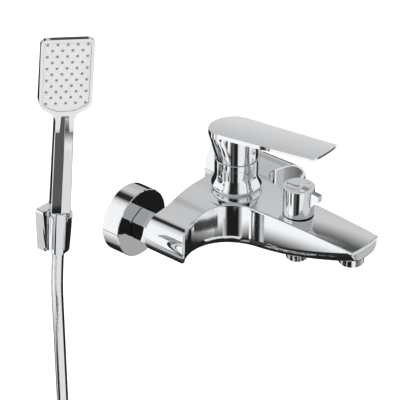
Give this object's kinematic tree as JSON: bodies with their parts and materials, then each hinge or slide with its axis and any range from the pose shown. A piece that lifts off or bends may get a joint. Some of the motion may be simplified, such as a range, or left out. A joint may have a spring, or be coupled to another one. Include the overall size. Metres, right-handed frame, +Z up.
{
  "type": "wall mounted bath faucet",
  "caption": "Chrome wall mounted single-lever bath mixer with a diverter knob, flared spout, wall bracket, hand shower and a hose with a free end nut.",
  "frame": {"origin": "on the wall plane, midway between the two inlet axes", "axes": "+Z up, -Y out of the wall towards the user, +X to the user's right"},
  "size_m": [0.3141, 0.2428, 0.6121],
  "materials": {
    "chrome": "polished chrome plate",
    "brass": "machined brass",
    "steel": "stainless",
    "rubber": "moulded",
    "cartridge_plastic": "moulded",
    "disc_ceramic": "lapped",
    "hose_silver": "smooth silver sleeve",
    "tie_plastic": "moulded",
    "face_grey": "moulded grey",
    "nozzle_rubber": "moulded pale silicone",
    "index_plastic": "moulded"
  },
  "bodies": {
    "mixer": {"mixer_body": "chrome", "left_escutcheon": "chrome", "right_escutcheon": "chrome", "left_union_nut": "chrome", "right_union_nut": "chrome", "trim_ring": "chrome", "aerator_housing": "chrome", "bracket_plate": "chrome", "bracket_socket": "chrome", "hose_outlet": "chrome", "left_union": "brass", "right_union": "brass", "diverter_bonnet": "brass", "cartridge_nut": "brass", "inlet_washers": "rubber", "cartridge_seal": "rubber", "aerator_washer": "rubber", "cartridge_housing": "cartridge_plastic", "check_valve": "cartridge_plastic", "aerator_insert": "cartridge_plastic", "fixed_disc": "disc_ceramic"},
    "carrier": {"cartridge_carrier": "cartridge_plastic", "stem_pin": "steel"},
    "disc": {"moving_disc": "disc_ceramic", "disc_driver": "cartridge_plastic"},
    "lever": {"lever_handle": "chrome", "lever_stem": "brass", "set_screw": "steel", "index_button": "index_plastic"},
    "diverter": {"diverter_knob": "chrome", "diverter_spindle": "brass", "knob_screw": "steel"},
    "hand_shower": {"shower_shell": "chrome", "shower_face": "face_grey", "nozzle_mat": "nozzle_rubber", "shower_nipple": "brass", "cone_nut": "chrome", "hose_washer": "rubber", "hose": "hose_silver", "hose_coil": "hose_silver", "coil_tie": "tie_plastic", "hose_end_nut": "chrome", "end_washer": "rubber"}
  },
  "joints": [
    {"name": "lever_swivel", "type": "hinge", "parent": "mixer", "child": "carrier", "pos_m": [0, -0.0742, 0.0615], "axis": [0, 0, 1], "range_deg": [-45, 45]},
    {"name": "lever_lift", "type": "hinge", "parent": "carrier", "child": "lever", "pos_m": [0, -0.0742, 0.0615], "axis": [-1, 0, 0], "range_deg": [0, 18]},
    {"name": "disc_slide", "type": "slide", "parent": "carrier", "child": "disc", "axis": [0, -1, 0], "range_m": [0, 0.0051]},
    {"name": "diverter_turn", "type": "hinge", "parent": "mixer", "child": "diverter", "pos_m": [0, -0.1486, 0.03], "axis": [0, 0, 1], "range_deg": [0, 90]},
    {"name": "shower_lift", "type": "slide", "parent": "mixer", "child": "hand_shower", "axis": [0, -0.1045, 0.9945], "range_m": [0, 0.05]}
  ],
  "couplings": [
    {"joint": "disc_slide", "follows": "lever_lift", "m_per_rad": 0.016}
  ]
}
